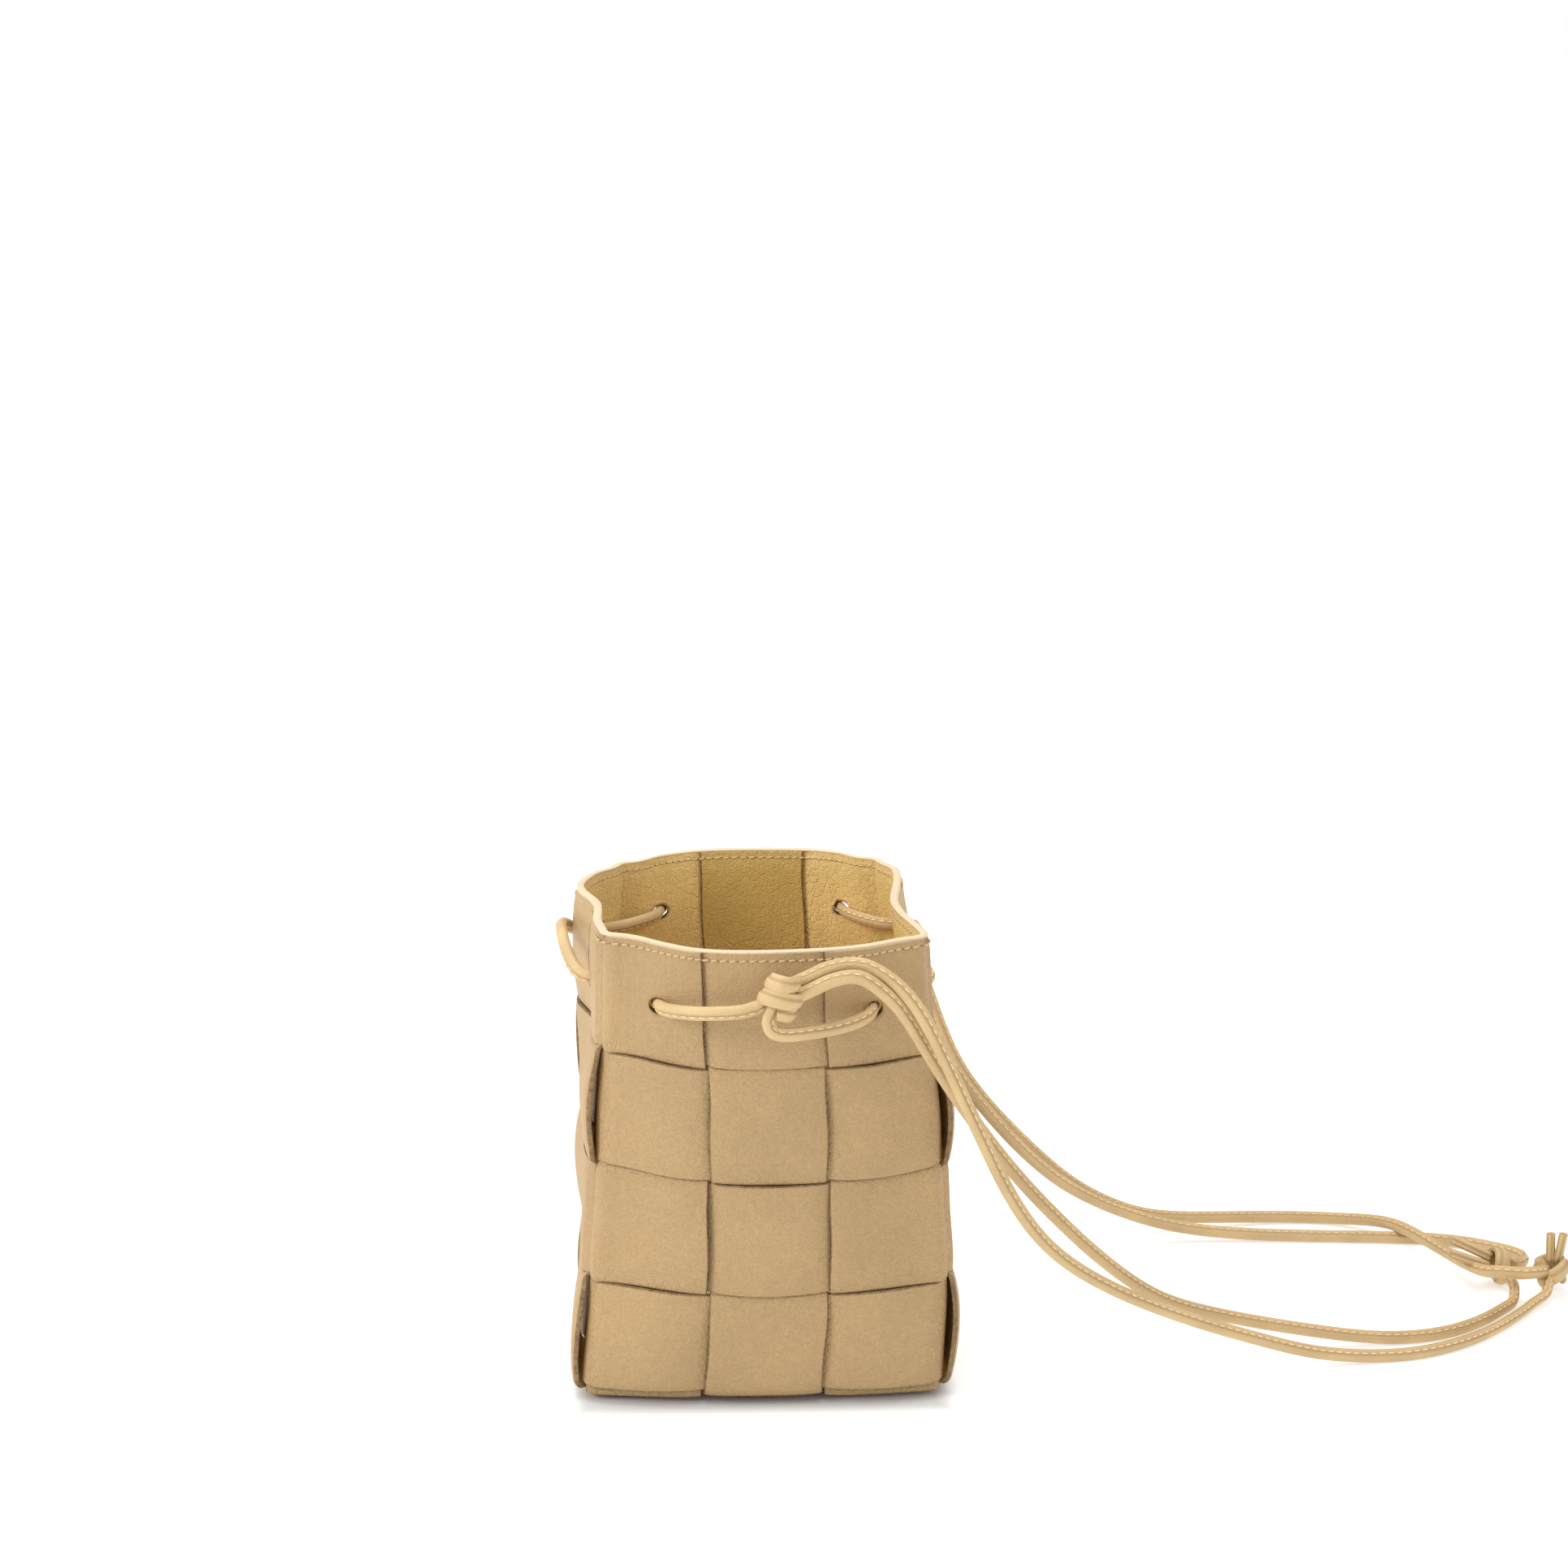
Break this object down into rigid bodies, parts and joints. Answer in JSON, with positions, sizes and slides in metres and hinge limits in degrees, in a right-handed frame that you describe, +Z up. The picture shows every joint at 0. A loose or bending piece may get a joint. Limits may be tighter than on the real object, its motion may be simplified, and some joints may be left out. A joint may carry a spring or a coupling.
{
  "type": "bucket bag",
  "caption": "Small open bucket bag woven from wide smooth leather strips, with punched holes, drawstring leather cords, sliding gathering knots and a long cord strap with tied ends.",
  "frame": {"origin": "on the floor under the middle of the woven base", "axes": "+Z up; the front wall faces -Y; +X is towards the side where the strap lies"},
  "size_m": [0.3947, 0.1856, 0.1729],
  "materials": {
    "strip_leather": "smooth, fine grain, satin",
    "cord_leather": "smooth folded and stitched"
  },
  "bodies": {
    "bag": {"front_to_rear_strip_left": "strip_leather", "front_to_rear_strip_centre": "strip_leather", "front_to_rear_strip_right": "strip_leather", "side_to_side_strip_front": "strip_leather", "side_to_side_strip_middle": "strip_leather", "side_to_side_strip_rear": "strip_leather", "woven_band_rim": "strip_leather", "woven_band_upper": "strip_leather", "woven_band_lower": "strip_leather", "woven_band_base": "strip_leather", "left_cord_at_mouth": "cord_leather", "right_cord_at_mouth": "cord_leather"},
    "strap": {"left_cord_front_strand": "cord_leather", "left_cord_rear_strand": "cord_leather", "right_cord_front_strand": "cord_leather", "right_cord_rear_strand": "cord_leather", "left_cord_front_tail": "cord_leather", "left_cord_rear_tail": "cord_leather", "right_cord_front_tail": "cord_leather", "right_cord_rear_tail": "cord_leather", "left_cord_end_knot": "cord_leather", "right_cord_end_knot": "cord_leather"},
    "front_knot": {"front_sliding_knot": "cord_leather"},
    "rear_knot": {"rear_sliding_knot": "cord_leather"}
  },
  "joints": [
    {"name": "strap_swing", "type": "hinge", "parent": "bag", "child": "strap", "pos_m": [0.0063, 0, 0.1584], "axis": [0, -1, 0], "range_deg": [0, 105]},
    {"name": "front_knot_slide", "type": "slide", "parent": "strap", "child": "front_knot", "axis": [0.9063, 0, 0.4226], "range_m": [0, 0.01]},
    {"name": "rear_knot_slide", "type": "slide", "parent": "strap", "child": "rear_knot", "axis": [1, 0, 0], "range_m": [0, 0.01]}
  ]
}
